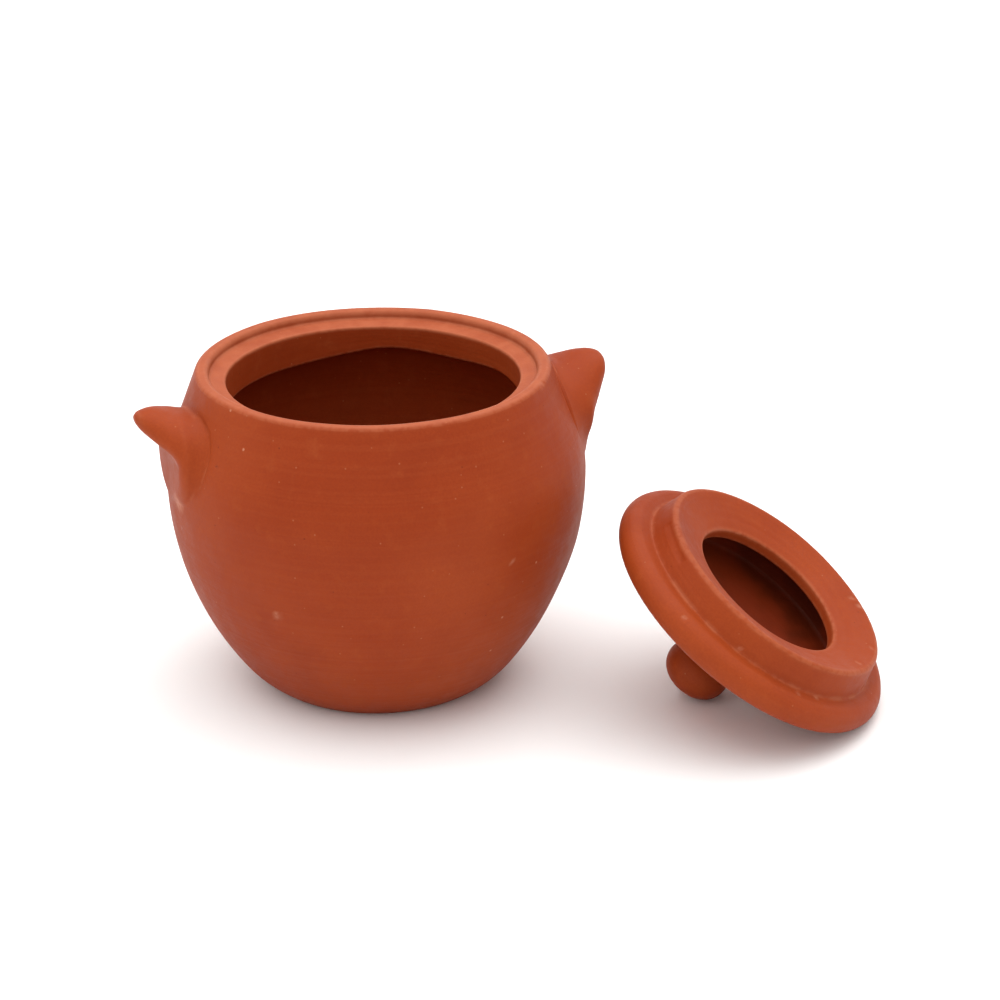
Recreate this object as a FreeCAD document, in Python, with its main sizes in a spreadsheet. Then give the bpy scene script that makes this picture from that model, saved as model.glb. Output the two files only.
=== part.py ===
"""Clay soup pot with two pulled ears, and its lid lying beside it.

The pot is one fired piece: a thrown belly on a flat foot, a rim with a sunk gallery that seats the
lid, a thick collar round the mouth that overhangs a wider hollow, and two blunt ears luted to the
shoulder. The lid is one fired piece: a dished ring that drops into the mouth, a flange with a fat
rounded edge, a low hollow dome and a flattened ball knob. It is taken off, and leans on its knob
and on the edge of its flange, on the surface that the pot stands on.

Millimetres. Z is up, the origin is the centre of the pot's foot, and the ears lie along X.
"""

import FreeCAD, Part
import math
import os
import re
import Sketcher

V = FreeCAD.Vector

SIZES = {
    # Belly, from the foot to the crest of the rim. Its height and bows are shares, and the foot is
    # tucked in from where the flank's bow would meet the ground
    "rim_height": 95.3,
    "belly_radius": 60.0,
    "belly_share": 0.6653,
    "foot_tuck": 0.04,
    "foot_edge": 1.2,
    "heel_bow": 0.4905,
    "flank_bow": 1.4416,
    "shoulder_radius": 37.0,
    "shoulder_angle": 20.8,
    "crest_round": 1.6,
    "crest_land": 0.96,
    # Hollow
    "wall": 5.5,
    "floor_thickness": 6.0,
    "floor_round_share": 0.3216,
    "undercut_round": 3.0,
    # Rim: gallery, mouth and collar
    "gallery_depth": 2.5,
    "gallery_slope": 12.0,
    "gallery_width": 4.8,
    "mouth_round": 1.6,
    "collar_share": 0.3762,
    # Ears: reach is outward from the belly's widest circle, drop is down from the crest, and a
    # section's rise, fall and side turn are shares of its width. The right ear was set on higher
    # than the left one, by its lift
    "right_ear_lift": 1.4,
    "ear_root_reach": -10.0,
    "ear_root_drop": 18.5,
    "ear_root_width": 43.0,
    "ear_root_rise_share": 0.293,
    "ear_root_fall_share": 0.419,
    "ear_root_turn_share": 0.233,
    "ear_waist_reach": 1.0,
    "ear_waist_drop": 18.3,
    "ear_waist_width": 30.0,
    "ear_waist_rise_share": 0.407,
    "ear_waist_fall_share": 0.483,
    "ear_waist_turn_share": 0.233,
    "ear_tip_reach": 7.4,
    "ear_tip_drop": 9.7,
    "ear_tip_width": 12.0,
    "ear_tip_rise_share": 0.325,
    "ear_tip_fall_share": 0.333,
    "ear_tip_turn_share": 0.25,
    "ear_nose_reach": 9.6,
    "ear_nose_drop": 8.6,
    "ear_nose_width": 5.6,
    "ear_nose_rise_share": 0.393,
    "ear_nose_fall_share": 0.393,
    "ear_nose_turn_share": 0.304,
    # Scoop that the thumb leaves under each ear
    "scoop_stand": 0.4,
    "scoop_knee_drop": 19.5,
    "scoop_round": 5.0,
    "scoop_slope": 36.0,
    # Lid, measured from the flat face of its flange
    "flange_clearance": 0.9,
    "flange_edge": 4.5,
    "plug_clearance": 3.35,
    "plug_draft": 2.4,
    "plug_height": 8.4,
    "plug_round": 1.4,
    "ring_width": 18.6,
    "ring_hole_height": 3.9,
    "ring_thickness": 3.2,
    "hole_round": 0.8,
    "dome_radius": 95.0,
    "lid_wall": 5.0,
    "lid_hollow_inset": 9.0,
    "knob_radius": 9.8,
    "knob_half_height": 6.6,
    "knob_stand": 10.88,
    "neck_radius": 6.0,
    "neck_fillet_share": 0.22,
    # Where the lid lies: clear of the belly, round from the right ear, and the way that it leans
    "lid_stand_off": 11.76,
    "lid_round": -30.234,
    "lid_bearing": -29.5,
}
# Sizes that follow from the others
FOLLOWING = {
    "belly_height": "rim_height * belly_share",
    "heel_radius": "heel_bow * belly_height",
    "flank_radius": "flank_bow * belly_height",
    "flank_foot": "belly_radius - flank_radius + sqrt(flank_radius ^ 2 - belly_height ^ 2)",
    "foot_radius": "flank_foot - foot_tuck * belly_height",
    "floor_round": "heel_radius * floor_round_share",
    "shoulder_rise": "(shoulder_radius - crest_round) * sin(shoulder_angle)",
    "shoulder_out": "belly_radius - shoulder_radius + (shoulder_radius - crest_round) * cos(shoulder_angle)",
    "slope_rise": "rim_height - crest_round - belly_height - shoulder_rise",
    "gallery_radius": "shoulder_out - slope_rise * tan(shoulder_angle) - crest_land - crest_round",
    "mouth_radius": "gallery_radius - gallery_width",
    "collar_depth": "(rim_height - belly_height) * collar_share",
    "ring_hole_radius": "mouth_radius - ring_width",
    "lid_hollow_radius": "mouth_radius - lid_hollow_inset",
    "flange_ring": "gallery_radius - flange_clearance - flange_edge",
    "dome_centre": "sqrt((dome_radius - flange_edge) ^ 2 - flange_ring ^ 2) - flange_edge",
    "knob_drop": "dome_radius - dome_centre + knob_stand",
    "neck_fillet": "knob_stand * neck_fillet_share",
    "lid_away": "belly_radius + flange_ring + lid_stand_off",
}
EAR_SECTIONS = ("root", "waist", "tip", "nose")
for section in EAR_SECTIONS:
    for way in ("rise", "fall", "turn"):
        FOLLOWING[f"ear_{section}_{way}"] = f"ear_{section}_width * ear_{section}_{way}_share"
FIGURES = dict(SIZES)
OVERRUN = 2.0
MATCH = 0.001
SIDES = {"right": 1, "left": -1}
LIFTS = {"right": "right_ear_lift", "left": "0"}


def add_sheet(document):
    """Gives every size a named cell of its own: the driving ones first, then those that follow."""
    sheet = document.addObject("Spreadsheet::Sheet", "Sizes")
    formulas = {name: f"={formula}" for name, formula in FOLLOWING.items()}
    for row, (name, value) in enumerate({**SIZES, **formulas}.items(), start=1):
        sheet.set(f"A{row}", name.replace("_", " "))
        sheet.set(f"B{row}", str(value))
        sheet.setAlias(f"B{row}", name)
    document.recompute()
    for name in FOLLOWING:
        FIGURES[name] = float(sheet.get(name))


def cells(formula):
    """Turns the size names in a formula into the sheet's cells."""
    return re.sub("[a-z_]+", lambda word: f"Sizes.{word[0]}" if word[0] in FIGURES else word[0], formula)


def polar(centre, radius, degrees):
    angle = math.radians(degrees)
    return centre + V(radius * math.cos(angle), radius * math.sin(angle), 0)


def bearing(centre, point):
    """The angle of a point seen from a centre, in degrees."""
    return math.degrees(math.atan2(point.y - centre.y, point.x - centre.x))


def add_sketch(body, name, role, offset=None):
    """A sketch on one of the body's own origin planes, moved off it by a formula of sizes."""
    plane = next(p for p in body.Origin.OriginFeatures if p.Role == role)
    sketch = body.newObject("Sketcher::SketchObject", name)
    sketch.AttachmentSupport = [(plane, "")]
    sketch.MapMode = "FlatFace"
    if offset:
        sketch.setExpression("AttachmentOffset.Base.z", cells(offset))
    return sketch


class Outline:
    """A closed outline in a sketch: its lines and arcs in turn, and the sizes that hold them."""

    def __init__(self, sketch):
        self.sketch = sketch
        self.links = []

    def line(self, start, end):
        self.links.append(self.sketch.addGeometry(Part.LineSegment(start, end), False))
        return self.links[-1]

    def arc(self, centre, radius, first, last):
        """An arc run anticlockwise from one angle to the other, in degrees."""
        circle = Part.Circle(centre, V(0, 0, 1), radius)
        curve = Part.ArcOfCircle(circle, math.radians(first), math.radians(last))
        self.links.append(self.sketch.addGeometry(curve, False))
        return self.links[-1]

    def guide(self, point):
        """A construction point, for sizes to be taken from."""
        return self.sketch.addGeometry(Part.Point(point), True)

    def nearest_ends(self, one, other):
        pairs = [(a, b) for a in (1, 2) for b in (1, 2)]
        return min(pairs, key=lambda p: (self.at(one, p[0]) - self.at(other, p[1])).Length)

    def at(self, link, end):
        return self.sketch.getPoint(link, end)

    def rule(self, kind, *where):
        self.sketch.addConstraint(Sketcher.Constraint(kind, *where))

    def size(self, formula, kind, *where):
        """Adds a dimension and ties it to a formula of sizes."""
        index = self.sketch.addConstraint(Sketcher.Constraint(kind, *where, self.drawn(kind, where)))
        self.sketch.setExpression(f"Constraints[{index}]", cells(formula))

    def place(self, link, end, across, up):
        """Holds a point at its distances from the sketch's origin."""
        self.size(across, "DistanceX", -1, 1, link, end)
        self.size(up, "DistanceY", -1, 1, link, end)

    def drawn(self, kind, where):
        """The value that a dimension already has in the outline as it was drawn."""
        if kind == "Radius":
            return self.sketch.Geometry[where[0]].Radius
        if kind == "Angle":
            run = self.at(where[0], 2) - self.at(where[0], 1)
            return math.atan2(run.y, run.x)
        run = self.at(where[2], where[3]) - self.at(where[0], where[1])
        return {"DistanceX": run.x, "DistanceY": run.y, "Distance": run.Length}[kind]

    def close(self, smooth):
        """Joins each link to the next, in one tangent line where the pair is in the smooth list."""
        for one, other in zip(self.links, self.links[1:] + self.links[:1]):
            kind = "Tangent" if (one, other) in smooth else "Coincident"
            near = self.nearest_ends(one, other)
            self.sketch.addConstraint(Sketcher.Constraint(kind, one, near[0], other, near[1]))


def heel_centre():
    """Centre of the heel's arc, which touches the flank's arc and the foot's rounded edge."""
    s = FIGURES
    flank = V(s["belly_radius"] - s["flank_radius"], s["belly_height"], 0)
    foot = V(s["foot_radius"], s["foot_edge"], 0)
    to_flank = s["flank_radius"] - s["heel_radius"]
    to_foot = s["heel_radius"] - s["foot_edge"]
    gap = (foot - flank).Length
    along = (gap ** 2 + to_flank ** 2 - to_foot ** 2) / (2 * gap)
    turn = math.degrees(math.acos(along / to_flank))
    return polar(flank, to_flank, bearing(flank, foot) + turn)


def draw_wall(outline, inset, base, base_round, top_point):
    """Base, heel, flank and shoulder of the belly, and the straight line on up to a point.

    The outside has no inset, and the hollow lies inside it by the wall's thickness.
    """
    s = FIGURES
    skin = 0 if inset == "0" else s[inset]
    low = 0 if base == "0" else s[base]
    turn = s[base_round]
    flank_centre = V(s["belly_radius"] - s["flank_radius"], s["belly_height"], 0)
    shoulder_centre = V(s["belly_radius"] - s["shoulder_radius"], s["belly_height"], 0)
    heel_point = heel_centre()
    reach = s["heel_radius"] - skin - turn
    base_point = V(heel_point.x + math.sqrt(reach ** 2 - (low + turn - heel_point.y) ** 2), low + turn, 0)
    heel_start = bearing(heel_point, base_point)
    flank_start = bearing(flank_centre, heel_point)

    floor = outline.line(V(0, low, 0), V(base_point.x, low, 0))
    edge = outline.arc(base_point, turn, -90, heel_start)
    heel = outline.arc(heel_point, s["heel_radius"] - skin, heel_start, flank_start)
    flank = outline.arc(flank_centre, s["flank_radius"] - skin, flank_start, 0)
    shoulder = outline.arc(shoulder_centre, s["shoulder_radius"] - skin, 0, s["shoulder_angle"])
    slope_start = polar(shoulder_centre, s["shoulder_radius"] - skin, s["shoulder_angle"])
    slope = outline.line(slope_start, top_point)

    foot = outline.guide(V(s["foot_radius"], s["foot_edge"], 0))
    outline.place(foot, 1, "foot_radius", "foot_edge")
    if base == "0":
        outline.rule("PointOnObject", floor, 1, -1)
    else:
        outline.size(base, "DistanceY", -1, 1, floor, 1)
    outline.rule("Horizontal", floor)
    outline.size(base_round, "Radius", edge)
    outline.size(f"heel_radius - {inset}", "Radius", heel)
    outline.size("heel_radius - foot_edge", "Distance", heel, 3, foot, 1)
    outline.size(f"flank_radius - {inset}", "Radius", flank)
    outline.place(flank, 3, "belly_radius - flank_radius", "belly_height")
    outline.size(f"shoulder_radius - {inset}", "Radius", shoulder)
    outline.size("belly_height", "DistanceY", -1, 1, shoulder, 3)
    outline.size("90 + shoulder_angle", "Angle", slope)
    smooth = [(floor, edge), (edge, heel), (heel, flank), (flank, shoulder), (shoulder, slope)]
    return slope, smooth


def along_slope(inset, height):
    """The point at a height on the straight line that lies inside the shoulder by an inset."""
    s = FIGURES
    centre = V(s["belly_radius"] - s["shoulder_radius"], s["belly_height"], 0)
    start = polar(centre, s["shoulder_radius"] - inset, s["shoulder_angle"])
    rise = height - start.y
    return start + V(-rise * math.tan(math.radians(s["shoulder_angle"])), rise, 0)


def pot_outside(body):
    """The solid belly, turned: its outline runs from the foot's centre to the crest."""
    s = FIGURES
    outline = Outline(add_sketch(body, "outside", "XZ_Plane"))
    crest_centre = along_slope(s["crest_round"], s["rim_height"] - s["crest_round"])
    top_point = polar(crest_centre, s["crest_round"], s["shoulder_angle"])
    slope, smooth = draw_wall(outline, "0", "0", "foot_edge", top_point)
    crest = outline.arc(crest_centre, s["crest_round"], s["shoulder_angle"], 90)
    top = outline.line(V(crest_centre.x, s["rim_height"], 0), V(0, s["rim_height"], 0))
    axis = outline.line(V(0, s["rim_height"], 0), V(0, 0, 0))
    outline.close(smooth + [(slope, crest), (crest, top)])
    outline.rule("Horizontal", top)
    outline.rule("Vertical", axis)
    outline.rule("PointOnObject", axis, 2, -2)
    outline.size("crest_round", "Radius", crest)
    outline.size("rim_height", "DistanceY", -1, 1, top, 2)
    return turn_feature(body, "PartDesign::Revolution", "belly", outline.sketch)


def turn_feature(body, kind, name, sketch):
    """A full turn of a sketch about its own upright axis."""
    feature = body.newObject(kind, name)
    feature.Profile = sketch
    feature.ReferenceAxis = (sketch, ["V_Axis"])
    feature.Angle = 360
    return feature


def pot_inside(body):
    """The hollow, the collar, the mouth and the gallery, cut from the solid belly in one turn."""
    s = FIGURES
    outline = Outline(add_sketch(body, "inside", "XZ_Plane"))
    under = s["rim_height"] - s["collar_depth"]
    undercut_centre = along_slope(s["wall"] + s["undercut_round"], under - s["undercut_round"])
    slope_end = polar(undercut_centre, s["undercut_round"], s["shoulder_angle"])
    slope, smooth = draw_wall(outline, "wall", "floor_thickness", "floor_round", slope_end)

    ledge_angle = s["gallery_slope"]
    ledge_outer = V(s["gallery_radius"], s["rim_height"] - s["gallery_depth"], 0)
    mouth_x = s["mouth_radius"] + s["mouth_round"]
    fall = (s["gallery_radius"] - mouth_x) * math.tan(math.radians(ledge_angle))
    mouth_drop = fall + s["mouth_round"] / math.cos(math.radians(ledge_angle))
    mouth_centre = V(mouth_x, ledge_outer.y - mouth_drop, 0)
    lip_centre = V(s["gallery_radius"] + s["crest_round"], s["rim_height"] - s["crest_round"], 0)
    above = s["rim_height"] + OVERRUN
    lip_top = lip_centre + V(0, s["crest_round"], 0)

    undercut = outline.arc(undercut_centre, s["undercut_round"], s["shoulder_angle"], 90)
    collar_base = V(s["mouth_radius"], under, 0)
    shelf = outline.line(undercut_centre + V(0, s["undercut_round"], 0), collar_base)
    collar = outline.line(collar_base, V(s["mouth_radius"], mouth_centre.y, 0))
    mouth = outline.arc(mouth_centre, s["mouth_round"], 90 + ledge_angle, 180)
    ledge = outline.line(polar(mouth_centre, s["mouth_round"], 90 + ledge_angle), ledge_outer)
    step = outline.line(ledge_outer, V(s["gallery_radius"], lip_centre.y, 0))
    lip = outline.arc(lip_centre, s["crest_round"], 90, 180)
    rise = outline.line(lip_top, V(lip_top.x, above, 0))
    top = outline.line(V(lip_top.x, above, 0), V(0, above, 0))
    axis = outline.line(V(0, above, 0), V(0, s["floor_thickness"], 0))
    smooth += [(slope, undercut), (undercut, shelf), (collar, mouth), (mouth, ledge), (step, lip)]
    outline.close(smooth)
    for upright in (collar, step, rise, axis):
        outline.rule("Vertical", upright)
    outline.rule("Horizontal", shelf)
    outline.rule("Horizontal", top)
    outline.rule("PointOnObject", axis, 2, -2)
    outline.size("undercut_round", "Radius", undercut)
    outline.place(collar, 1, "mouth_radius", "rim_height - collar_depth")
    outline.size("mouth_round", "Radius", mouth)
    outline.size("gallery_slope", "Angle", ledge)
    outline.place(ledge, 2, "gallery_radius", "rim_height - gallery_depth")
    outline.size("crest_round", "Radius", lip)
    outline.size("rim_height", "DistanceY", -1, 1, lip, 1)
    outline.size(f"rim_height + {OVERRUN}", "DistanceY", -1, 1, top, 2)
    return turn_feature(body, "PartDesign::Groove", "hollow", outline.sketch)


def lift(side):
    """How much higher an ear was set on than the left one."""
    return FIGURES.get(LIFTS[side], 0)


def ear_section(body, side, name):
    """One egg-shaped section of an ear, of four arcs, upright and square to the ear's reach."""
    s = FIGURES
    half = s[f"ear_{name}_width"] / 2
    rise, fall, turn = (s[f"ear_{name}_{part}"] for part in ("rise", "fall", "turn"))
    height = s["rim_height"] - s[f"ear_{name}_drop"] + lift(side)
    reach = f"{SIDES[side]} * ( belly_radius + ear_{name}_reach )"
    outline = Outline(add_sketch(body, f"{side}_ear_{name}", "YZ_Plane", reach))
    inner = half - turn
    over = (inner ** 2 + rise ** 2 - turn ** 2) / (2 * (rise - turn))
    below = (inner ** 2 + fall ** 2 - turn ** 2) / (2 * (fall - turn))
    over_centre = V(0, height + rise - over, 0)
    below_centre = V(0, height - fall + below, 0)
    over_angle = bearing(over_centre, V(inner, height, 0))
    below_angle = bearing(below_centre, V(inner, height, 0))
    near = outline.arc(V(inner, height, 0), turn, below_angle, over_angle)
    crown = outline.arc(over_centre, over, over_angle, 180 - over_angle)
    far = outline.arc(V(-inner, height, 0), turn, 180 - over_angle, 180 - below_angle)
    keel = outline.arc(below_centre, below, 180 - below_angle, 360 + below_angle)
    outline.close([(near, crown), (crown, far), (far, keel), (keel, near)])
    size = f"ear_{name}"
    centre_height = f"rim_height - {size}_drop + {LIFTS[side]}"
    outline.place(near, 3, f"{size}_width / 2 - {size}_turn", centre_height)
    outline.size(centre_height, "DistanceY", -1, 1, far, 3)
    outline.size(f"{size}_turn", "Radius", near)
    outline.rule("Equal", near, far)
    bow = f"( ( {size}_width / 2 - {size}_turn ) ^ 2 + {size}_REACH ^ 2 - {size}_turn ^ 2 )"
    bow = bow + f" / ( 2 * ( {size}_REACH - {size}_turn ) )"
    outline.size(bow.replace("REACH", "rise"), "Radius", crown)
    outline.size(bow.replace("REACH", "fall"), "Radius", keel)
    outline.rule("PointOnObject", crown, 3, -2)
    return outline.sketch


def ear(body, side):
    """A blunt horn lofted from inside the shoulder to its rounded nose."""
    sections = [ear_section(body, side, name) for name in EAR_SECTIONS]
    horn = body.newObject("PartDesign::AdditiveLoft", f"{side}_ear")
    horn.Profile = sections[0]
    horn.Sections = sections[1:]


def scoop(body, side):
    """The hold under an ear: an upright face beside the belly that curves out under the beak."""
    s = FIGURES
    way = SIDES[side]
    outline = Outline(add_sketch(body, f"{side}_scoop_outline", "XZ_Plane"))
    face = s["belly_radius"] + s["scoop_stand"]
    knee = s["rim_height"] - s["scoop_knee_drop"] + lift(side)
    far = s["belly_radius"] + s["ear_nose_reach"] + OVERRUN
    low = s["rim_height"] - s["ear_root_drop"] - s["ear_root_fall"] - OVERRUN
    turn_centre = V(face + s["scoop_round"], knee, 0)
    turn_end = polar(turn_centre, s["scoop_round"], 90 + s["scoop_slope"])
    far_high = turn_end.y + (far - turn_end.x) * math.tan(math.radians(s["scoop_slope"]))

    def spot(x, z):
        return V(way * x, z, 0)

    first, last = sorted([90 + way * s["scoop_slope"], 90 + way * 90])
    wall = outline.line(spot(face, low), spot(face, knee))
    turn = outline.arc(spot(turn_centre.x, knee), s["scoop_round"], first, last)
    beak = outline.line(spot(turn_end.x, turn_end.y), spot(far, far_high))
    outer = outline.line(spot(far, far_high), spot(far, low))
    base = outline.line(spot(far, low), spot(face, low))
    outline.close([(wall, turn), (turn, beak)])
    outline.rule("Vertical", wall)
    outline.rule("Vertical", outer)
    outline.rule("Horizontal", base)
    across = f"{way} * ( belly_radius + %s )"
    low_formula = f"rim_height - ear_root_drop - ear_root_fall - {OVERRUN}"
    outline.place(wall, 1, across % "scoop_stand", low_formula)
    knee_formula = f"rim_height - scoop_knee_drop + {LIFTS[side]}"
    outline.size(knee_formula, "DistanceY", -1, 1, wall, 2)
    outline.size("scoop_round", "Radius", turn)
    outline.size("scoop_slope" if way > 0 else "180 - scoop_slope", "Angle", beak)
    outline.size(across % f"ear_nose_reach + {OVERRUN}", "DistanceX", -1, 1, beak, 2)
    cut = body.newObject("PartDesign::Pocket", f"{side}_scoop")
    cut.Profile = outline.sketch
    cut.SideType = "Symmetric"
    cut.setExpression("Length", cells("ear_root_width"))
    return cut


def make_pot(document):
    """Belly, ears and scoops as a solid, and then the hollow, which trims the ears' roots too."""
    pot = document.addObject("PartDesign::Body", "pot")
    pot_outside(pot)
    for side in SIDES:
        ear(pot, side)
        document.recompute()
        before = pot.Shape.Volume
        scoop(pot, side)
        document.recompute()
        check_cut(f"{side} scoop", before, pot.Shape.Volume)
    before = pot.Shape.Volume
    pot_inside(pot)
    document.recompute()
    check_cut("hollow", before, pot.Shape.Volume)
    return pot


def check_cut(name, before, after):
    if after >= before:
        raise RuntimeError(f"the {name} removed nothing")


def lid_outline(body):
    """Half of the lid's section, knob down, with the flat face of its flange at height 0."""
    s = FIGURES
    outline = Outline(add_sketch(body, "section", "XZ_Plane"))
    edge = s["flange_edge"]
    edge_centre = V(s["flange_ring"], -edge, 0)
    dome_centre = V(0, s["dome_centre"], 0)
    edge_end = bearing(dome_centre, edge_centre)
    knob = s["knob_half_height"]
    knob_centre = V(s["knob_radius"] - knob, -s["knob_drop"], 0)
    ball_end = math.degrees(math.acos((s["neck_radius"] - knob_centre.x) / knob))
    dome_start = -math.degrees(math.acos(s["neck_radius"] / s["dome_radius"]))
    knob_low = knob_centre.y - knob
    plug_foot = V(s["mouth_radius"] - s["plug_clearance"], 0, 0)
    plug_end = plug_foot + V(-s["plug_draft"], s["plug_height"], 0)
    ring_top = V(s["ring_hole_radius"], s["ring_hole_height"], 0)
    ring_base = ring_top - V(0, s["ring_thickness"], 0)
    hollow_top = V(s["lid_hollow_radius"], ring_base.y, 0)
    ceiling = s["dome_radius"] - s["lid_wall"]
    ceiling_end = -math.degrees(math.acos(hollow_top.x / ceiling))
    ceiling_edge = polar(dome_centre, ceiling, ceiling_end)
    ceiling_low = dome_centre.y - ceiling

    bottom = outline.line(V(0, knob_low, 0), V(knob_centre.x, knob_low, 0))
    ball = outline.arc(knob_centre, knob, -90, ball_end)
    neck = outline.line(polar(knob_centre, knob, ball_end), polar(dome_centre, s["dome_radius"], dome_start))
    dome = outline.arc(dome_centre, s["dome_radius"], dome_start, edge_end)
    rim = outline.arc(edge_centre, edge, edge_end, 90)
    flat = outline.line(edge_centre + V(0, edge, 0), plug_foot)
    plug = outline.line(plug_foot, plug_end)
    dish = outline.line(plug_end, ring_top)
    hole = outline.line(ring_top, ring_base)
    ring_under = outline.line(ring_base, hollow_top)
    side = outline.line(hollow_top, ceiling_edge)
    roof = outline.arc(dome_centre, ceiling, -90, ceiling_end)
    axis = outline.line(V(0, ceiling_low, 0), V(0, knob_low, 0))
    outline.close([(bottom, ball), (dome, rim), (rim, flat)])

    for upright in (neck, hole, side, axis):
        outline.rule("Vertical", upright)
    for level in (bottom, flat, ring_under):
        outline.rule("Horizontal", level)
    outline.rule("PointOnObject", axis, 2, -2)
    outline.rule("PointOnObject", dome, 3, -2)
    outline.rule("Coincident", roof, 3, dome, 3)
    outline.size("knob_half_height", "Radius", ball)
    outline.size("knob_radius - knob_half_height", "DistanceX", -1, 1, ball, 3)
    outline.size("-1 * knob_drop", "DistanceY", -1, 1, ball, 3)
    outline.size("neck_radius", "DistanceX", -1, 1, neck, 1)
    outline.size("dome_radius", "Radius", dome)
    outline.size("flange_edge", "Radius", rim)
    outline.rule("PointOnObject", plug, 1, -1)
    outline.size("mouth_radius - plug_clearance", "DistanceX", -1, 1, plug, 1)
    outline.size("flange_ring", "DistanceX", -1, 1, rim, 3)
    outline.place(plug, 2, "mouth_radius - plug_clearance - plug_draft", "plug_height")
    outline.place(hole, 1, "ring_hole_radius", "ring_hole_height")
    outline.size("ring_hole_height - ring_thickness", "DistanceY", -1, 1, hole, 2)
    outline.size("lid_hollow_radius", "DistanceX", -1, 1, side, 1)
    outline.size("dome_radius - lid_wall", "Radius", roof)
    return outline.sketch


def lean_formula():
    """The lid's lean, at which its knob and the edge of its flange are equally low."""
    across = "( flange_ring - knob_radius + knob_half_height )"
    along = "( knob_drop - flange_edge )"
    apart = f"sqrt( {along} ^ 2 + {across} ^ 2 )"
    return f"( atan( {along} / {across} ) + asin( ( knob_half_height - flange_edge ) / {apart} ) )"


def lay_down(lid):
    """Leans the lid over until its knob and flange both touch the ground."""
    lean = lean_formula()
    places = {
        "Base.x": "lid_away * cos( lid_round )",
        "Base.y": "lid_away * sin( lid_round )",
        "Base.z": f"flange_edge * ( 1 + cos( {lean} ) ) + flange_ring * sin( {lean} )",
        "Rotation.Axis.x": "-1 * sin( lid_bearing )",
        "Rotation.Axis.y": "cos( lid_bearing )",
        "Rotation.Axis.z": "0",
        "Rotation.Angle": lean,
    }
    for place, formula in places.items():
        lid.setExpression(f"Placement.{place}", cells(formula))


def round_rings(body, name, size, base, radius):
    """Rounds the turned edges of one radius on the body's last feature."""
    edges = []
    for number, edge in enumerate(base.Shape.Edges, start=1):
        start = edge.Vertexes[0].Point
        if edge.isClosed() and abs(math.hypot(start.x, start.y) - radius) < MATCH:
            edges.append(f"Edge{number}")
    feature = body.newObject("PartDesign::Fillet", name)
    feature.Base = (base, edges)
    feature.setExpression("Radius", cells(size))
    return feature


def make_lid(document):
    """The lid, turned in one piece, and laid on its knob and on the edge of its flange."""
    s = FIGURES
    lid = document.addObject("PartDesign::Body", "lid")
    last = turn_feature(lid, "PartDesign::Revolution", "turned", lid_outline(lid))
    document.recompute()
    plug_end = s["mouth_radius"] - s["plug_clearance"] - s["plug_draft"]
    rings = {
        "neck_cove": ("neck_fillet", s["neck_radius"]),
        "plug_edge": ("plug_round", plug_end),
        "hole_edge": ("hole_round", s["ring_hole_radius"]),
    }
    for name, (size, radius) in rings.items():
        last = round_rings(lid, name, size, last, radius)
        document.recompute()
    lay_down(lid)
    document.recompute()
    return lid


def check(document, pieces):
    """Stops if anything in the document failed, or a piece isn't one sound solid."""
    for item in document.Objects:
        if "Invalid" in item.State or "Error" in item.State:
            raise RuntimeError(f"{item.Name} failed: {item.getStatusString()}")
    for piece in pieces:
        shape = piece.Shape
        if shape.isNull() or not shape.isValid() or len(shape.Solids) != 1:
            raise RuntimeError(f"{piece.Label} isn't one sound solid")


def main():
    document = FreeCAD.newDocument("clay_soup_pot")
    add_sheet(document)
    pieces = [make_pot(document), make_lid(document)]
    check(document, pieces)
    os.makedirs("parts", exist_ok=True)
    for piece in pieces:
        box = piece.Shape.BoundBox
        print(piece.Label, f"{piece.Shape.Volume / 1000:.1f} cm3, height {box.ZMin:.3f} to {box.ZMax:.3f}")
        piece.Shape.exportStep(f"parts/{piece.Label}.step")


main()
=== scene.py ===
"""Looks of the clay soup pot and its lid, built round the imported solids.

Lengths are in millimetres until a mesh is made, and in metres from there on. A profile is a list of
points, each a radius and a height, that is turned about an upright axis. Azimuths are counted from
the right ear.
"""

import math

import bpy
import numpy as np
from mathutils import Matrix


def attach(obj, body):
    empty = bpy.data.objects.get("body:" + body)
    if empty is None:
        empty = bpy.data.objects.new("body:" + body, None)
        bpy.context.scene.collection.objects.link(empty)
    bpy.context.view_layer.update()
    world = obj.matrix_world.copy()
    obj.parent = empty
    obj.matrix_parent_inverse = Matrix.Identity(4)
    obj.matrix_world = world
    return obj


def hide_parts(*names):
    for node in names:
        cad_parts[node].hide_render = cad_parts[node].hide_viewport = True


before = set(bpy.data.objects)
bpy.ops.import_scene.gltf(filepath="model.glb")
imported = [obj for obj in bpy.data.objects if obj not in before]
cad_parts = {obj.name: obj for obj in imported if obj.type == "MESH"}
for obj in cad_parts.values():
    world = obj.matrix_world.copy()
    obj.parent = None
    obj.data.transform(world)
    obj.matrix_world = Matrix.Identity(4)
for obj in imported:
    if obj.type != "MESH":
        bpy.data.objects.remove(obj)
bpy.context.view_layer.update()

MM = 0.001
QUARTER = math.pi / 2

# The pot's outline: foot, heel, flank, shoulder, and a straight slope up to the rim
RIM = 95.3
BELLY_R, BELLY_Z = 60.0, RIM * 0.6653
FOOT_EDGE = 1.2
FOOT_R = BELLY_R - 0.4432 * BELLY_Z
HEEL_R = 0.4905 * BELLY_Z
FLANK_R = 1.4416 * BELLY_Z
SHOULDER_R, SHOULDER_TURN = 37.0, math.radians(20.8)
WALL, FLOOR, FLOOR_ROUND = 5.5, 6.0, 10.0

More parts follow.
